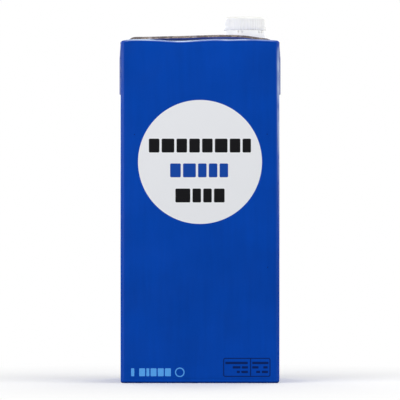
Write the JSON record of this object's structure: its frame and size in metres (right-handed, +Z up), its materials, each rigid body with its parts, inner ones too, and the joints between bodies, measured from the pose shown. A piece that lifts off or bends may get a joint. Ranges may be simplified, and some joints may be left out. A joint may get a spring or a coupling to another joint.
{
  "type": "milk carton",
  "caption": "Slim brick-shaped drink carton of folded printed board, with a folded top seal, glued side ears and a ribbed screw cap on its top panel.",
  "frame": {"origin": "middle of the base, on the plane that the carton stands on", "axes": "+Z up, front panel faces -Y, +X towards the side where the cap stands"},
  "size_m": [0.0926, 0.0624, 0.2104],
  "materials": {
    "board": "satin printed board with a thin plastic coat",
    "spout_plastic": "satin moulded",
    "band_plastic": "satin moulded",
    "cap_plastic": "satin moulded, finely ribbed"
  },
  "bodies": {
    "root": {"carton": "board", "spout": "spout_plastic", "tamper_band": "band_plastic", "cap": "cap_plastic"}
  },
  "joints": []
}
